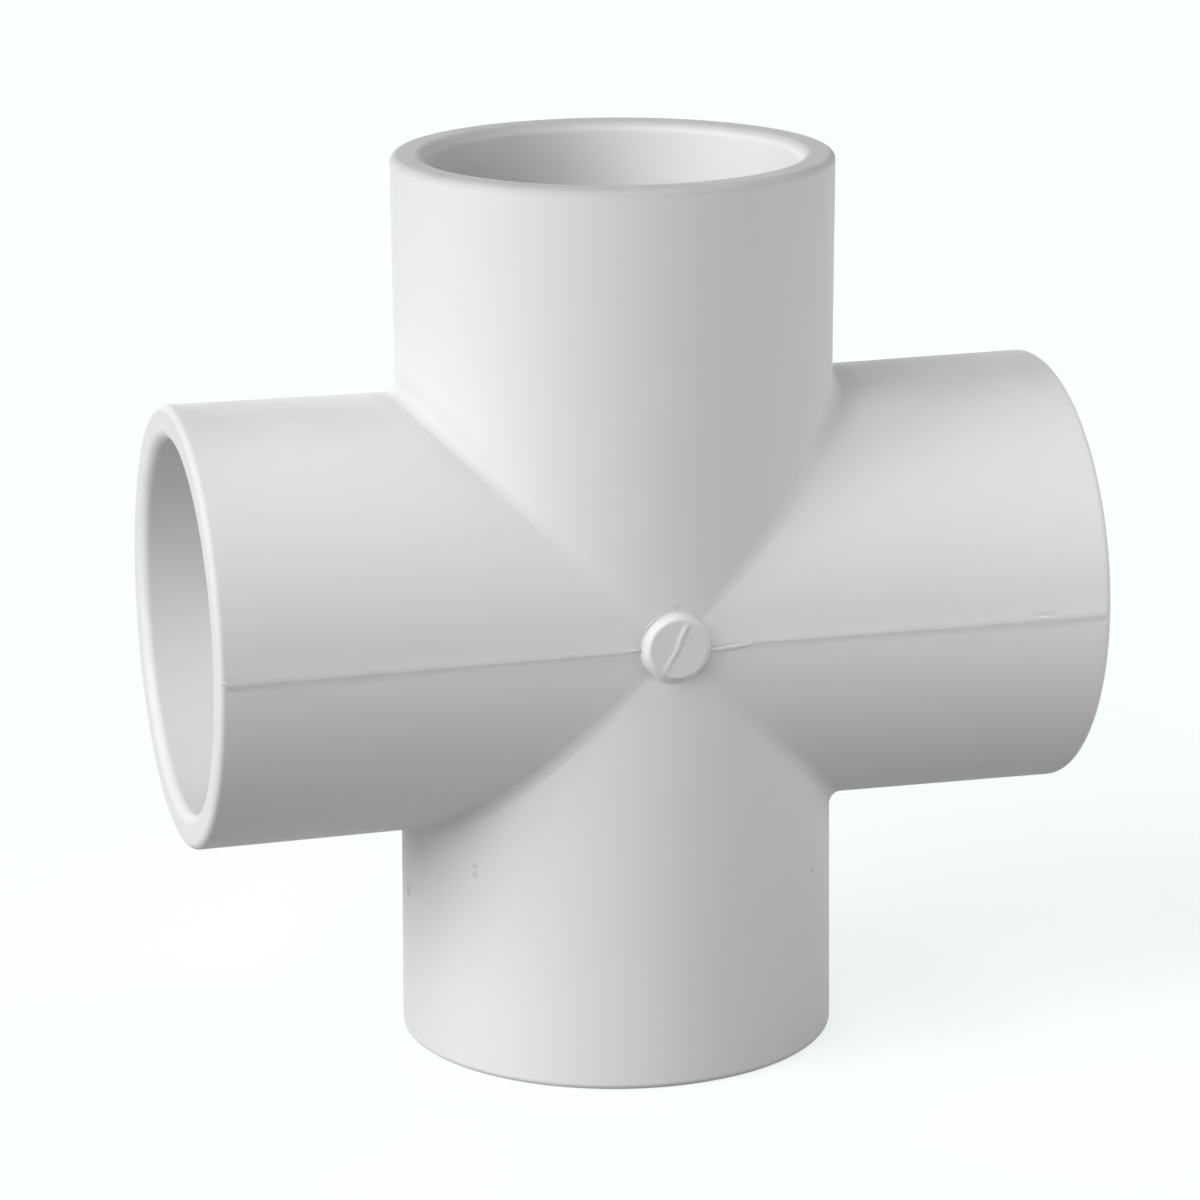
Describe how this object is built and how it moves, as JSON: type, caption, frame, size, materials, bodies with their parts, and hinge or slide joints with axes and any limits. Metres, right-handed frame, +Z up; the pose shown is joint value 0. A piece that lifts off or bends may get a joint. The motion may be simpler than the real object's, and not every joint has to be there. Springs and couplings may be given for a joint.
{
  "type": "pipe cross fitting",
  "caption": "Four-way pipe cross with equal plain sockets on two crossing runs, for joining pipes at right angles in one plane with solvent cement.",
  "frame": {"origin": "the point where the axes of the two runs cross", "axes": "+Z up the vertical run, +X along the horizontal run to the right, -Y towards the side with the gate pad"},
  "size_m": [0.1174, 0.0582, 0.1174],
  "materials": {
    "body": "smooth moulded white PVC-U, satin"
  },
  "bodies": {
    "root": {"top_socket": "body", "right_socket": "body", "bottom_socket": "body", "left_socket": "body", "gate_pad": "body"}
  },
  "joints": []
}
